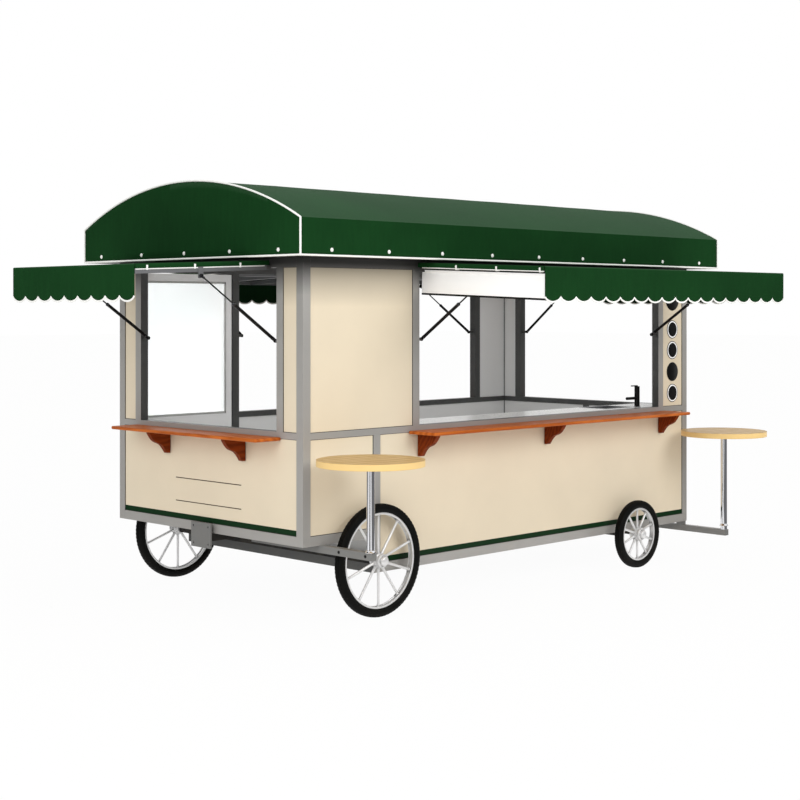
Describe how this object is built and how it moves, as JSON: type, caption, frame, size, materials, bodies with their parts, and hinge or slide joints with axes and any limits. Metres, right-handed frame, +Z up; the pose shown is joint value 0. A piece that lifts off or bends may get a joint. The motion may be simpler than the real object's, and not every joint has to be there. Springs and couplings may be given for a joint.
{
  "type": "four-wheeled food cart",
  "caption": "Food cart on spoked wheels with serving windows on its four sides, folding awnings on gas struts, a tunnel roof cover, shelves and round side tables.",
  "frame": {"origin": "on the ground under the middle of the body", "axes": "+X along the serving side away from the hitch, +Z up, -Y out of the serving window"},
  "size_m": [6.0226, 4.0424, 2.728],
  "materials": {
    "frame_grey": "satin powder coat",
    "dark_steel": "satin black paint",
    "cream_panel": "satin coated sheet",
    "lining": "satin coated board",
    "canopy_cloth": "coated woven cloth",
    "awning_metal": "satin",
    "shelf_wood": "varnished",
    "bracket_wood": "varnished",
    "table_wood": "varnished pale wood",
    "worktop": "laminate",
    "chrome_post": "polished",
    "steel_sink": "brushed",
    "black_metal": "gloss black",
    "rod_steel": "polished",
    "wheel_silver": "gloss silver",
    "tyre": "matt",
    "board_white": "satin",
    "glass": "clear"
  },
  "bodies": {
    "cart": {"chassis": "dark_steel", "big_axle": "dark_steel", "small_axle": "dark_steel", "hitch_receiver": "dark_steel", "hitch_plate": "frame_grey", "sill_rails": "frame_grey", "corner_posts": "frame_grey", "window_posts": "frame_grey", "counter_rails": "frame_grey", "header_rails": "frame_grey", "front_panels": "cream_panel", "back_panels": "cream_panel", "left_end_panels": "cream_panel", "right_end_panels": "cream_panel", "floor_panels": "lining", "roof_deck": "dark_steel", "canopy_cover": "canopy_cloth", "shelf_boards": "shelf_wood", "shelf_brackets": "bracket_wood", "worktop": "worktop", "worktop_uprights": "lining", "sink": "steel_sink", "tap": "black_metal", "table_tops": "table_wood", "table_posts": "chrome_post", "table_arms": "frame_grey", "hinge_brackets": "frame_grey"},
    "front_awning": {"front_awning_frame": "awning_metal", "front_awning_cloth": "canopy_cloth", "menu_board": "board_white"},
    "back_awning": {"back_awning_frame": "awning_metal", "back_awning_cloth": "canopy_cloth"},
    "left_awning": {"left_awning_frame": "awning_metal", "left_awning_cloth": "canopy_cloth"},
    "right_awning": {"right_awning_frame": "awning_metal", "right_awning_cloth": "canopy_cloth"},
    "door": {"door": "cream_panel", "door_glass": "glass"},
    "big_front_wheel": {"big_wheel_front": "wheel_silver", "big_tyre_front": "tyre"},
    "big_back_wheel": {"big_wheel_back": "wheel_silver", "big_tyre_back": "tyre"},
    "small_front_wheel": {"small_wheel_front": "wheel_silver", "small_tyre_front": "tyre"},
    "small_back_wheel": {"small_wheel_back": "wheel_silver", "small_tyre_back": "tyre"},
    "front_struts": {"front_strut_cylinders": "black_metal"},
    "front_rods": {"front_strut_rods": "rod_steel"},
    "back_struts": {"back_strut_cylinders": "black_metal"},
    "back_rods": {"back_strut_rods": "rod_steel"},
    "left_struts": {"left_strut_cylinders": "black_metal"},
    "left_rods": {"left_strut_rods": "rod_steel"},
    "right_struts": {"right_strut_cylinders": "black_metal"},
    "right_rods": {"right_strut_rods": "rod_steel"}
  },
  "joints": [
    {"name": "big_front_wheel_spin", "type": "hinge", "parent": "cart", "child": "big_front_wheel", "pos_m": [-1.447, -1.03, 0.3525], "axis": [0, 1, 0], "continuous": true},
    {"name": "big_back_wheel_spin", "type": "hinge", "parent": "cart", "child": "big_back_wheel", "pos_m": [-1.447, 1.03, 0.3525], "axis": [0, 1, 0], "continuous": true},
    {"name": "small_front_wheel_spin", "type": "hinge", "parent": "cart", "child": "small_front_wheel", "pos_m": [1.2, -1.062, 0.248], "axis": [0, 1, 0], "continuous": true},
    {"name": "small_back_wheel_spin", "type": "hinge", "parent": "cart", "child": "small_back_wheel", "pos_m": [1.2, 1.062, 0.248], "axis": [0, 1, 0], "continuous": true},
    {"name": "front_awning_fold", "type": "hinge", "parent": "cart", "child": "front_awning", "pos_m": [0, -0.97, 2.171], "axis": [1, 0, 0], "range_deg": [0, 37]},
    {"name": "front_strut_swing", "type": "hinge", "parent": "cart", "child": "front_struts", "pos_m": [0, -0.92, 1.72], "axis": [1, 0, 0], "range_deg": [0, 22.7]},
    {"name": "front_rod_slide", "type": "slide", "parent": "front_struts", "child": "front_rods", "axis": [0, 0.8244, -0.5661], "range_m": [0, 0.25]},
    {"name": "back_awning_fold", "type": "hinge", "parent": "cart", "child": "back_awning", "pos_m": [0, 0.97, 2.171], "axis": [-1, 0, 0], "range_deg": [0, 37]},
    {"name": "back_strut_swing", "type": "hinge", "parent": "cart", "child": "back_struts", "pos_m": [0, 0.92, 1.72], "axis": [-1, 0, 0], "range_deg": [0, 22.7]},
    {"name": "back_rod_slide", "type": "slide", "parent": "back_struts", "child": "back_rods", "axis": [0, -0.8244, -0.5661], "range_m": [0, 0.25]},
    {"name": "left_awning_fold", "type": "hinge", "parent": "cart", "child": "left_awning", "pos_m": [-2.02, 0, 2.171], "axis": [0, -1, 0], "range_deg": [0, 37]},
    {"name": "left_strut_swing", "type": "hinge", "parent": "cart", "child": "left_struts", "pos_m": [-1.97, 0, 1.72], "axis": [0, -1, 0], "range_deg": [0, 22.7]},
    {"name": "left_rod_slide", "type": "slide", "parent": "left_struts", "child": "left_rods", "axis": [0.8244, 0, -0.5661], "range_m": [0, 0.25]},
    {"name": "right_awning_fold", "type": "hinge", "parent": "cart", "child": "right_awning", "pos_m": [2.02, 0, 2.171], "axis": [0, 1, 0], "range_deg": [0, 37]},
    {"name": "right_strut_swing", "type": "hinge", "parent": "cart", "child": "right_struts", "pos_m": [1.97, 0, 1.72], "axis": [0, 1, 0], "range_deg": [0, 22.7]},
    {"name": "right_rod_slide", "type": "slide", "parent": "right_struts", "child": "right_rods", "axis": [-0.8244, 0, -0.5661], "range_m": [0, 0.25]},
    {"name": "door_swing", "type": "hinge", "parent": "cart", "child": "door", "pos_m": [-1.932, 0.888, 0.6], "axis": [0, 0, -1], "range_deg": [0, 88]}
  ],
  "couplings": [
    {"joint": "front_strut_swing", "follows": "front_awning_fold", "ratio": 0.6},
    {"joint": "front_rod_slide", "follows": "front_awning_fold", "m_per_rad": 0.384},
    {"joint": "back_strut_swing", "follows": "back_awning_fold", "ratio": 0.6},
    {"joint": "back_rod_slide", "follows": "back_awning_fold", "m_per_rad": 0.384},
    {"joint": "left_strut_swing", "follows": "left_awning_fold", "ratio": 0.6},
    {"joint": "left_rod_slide", "follows": "left_awning_fold", "m_per_rad": 0.384},
    {"joint": "right_strut_swing", "follows": "right_awning_fold", "ratio": 0.6},
    {"joint": "right_rod_slide", "follows": "right_awning_fold", "m_per_rad": 0.384}
  ]
}
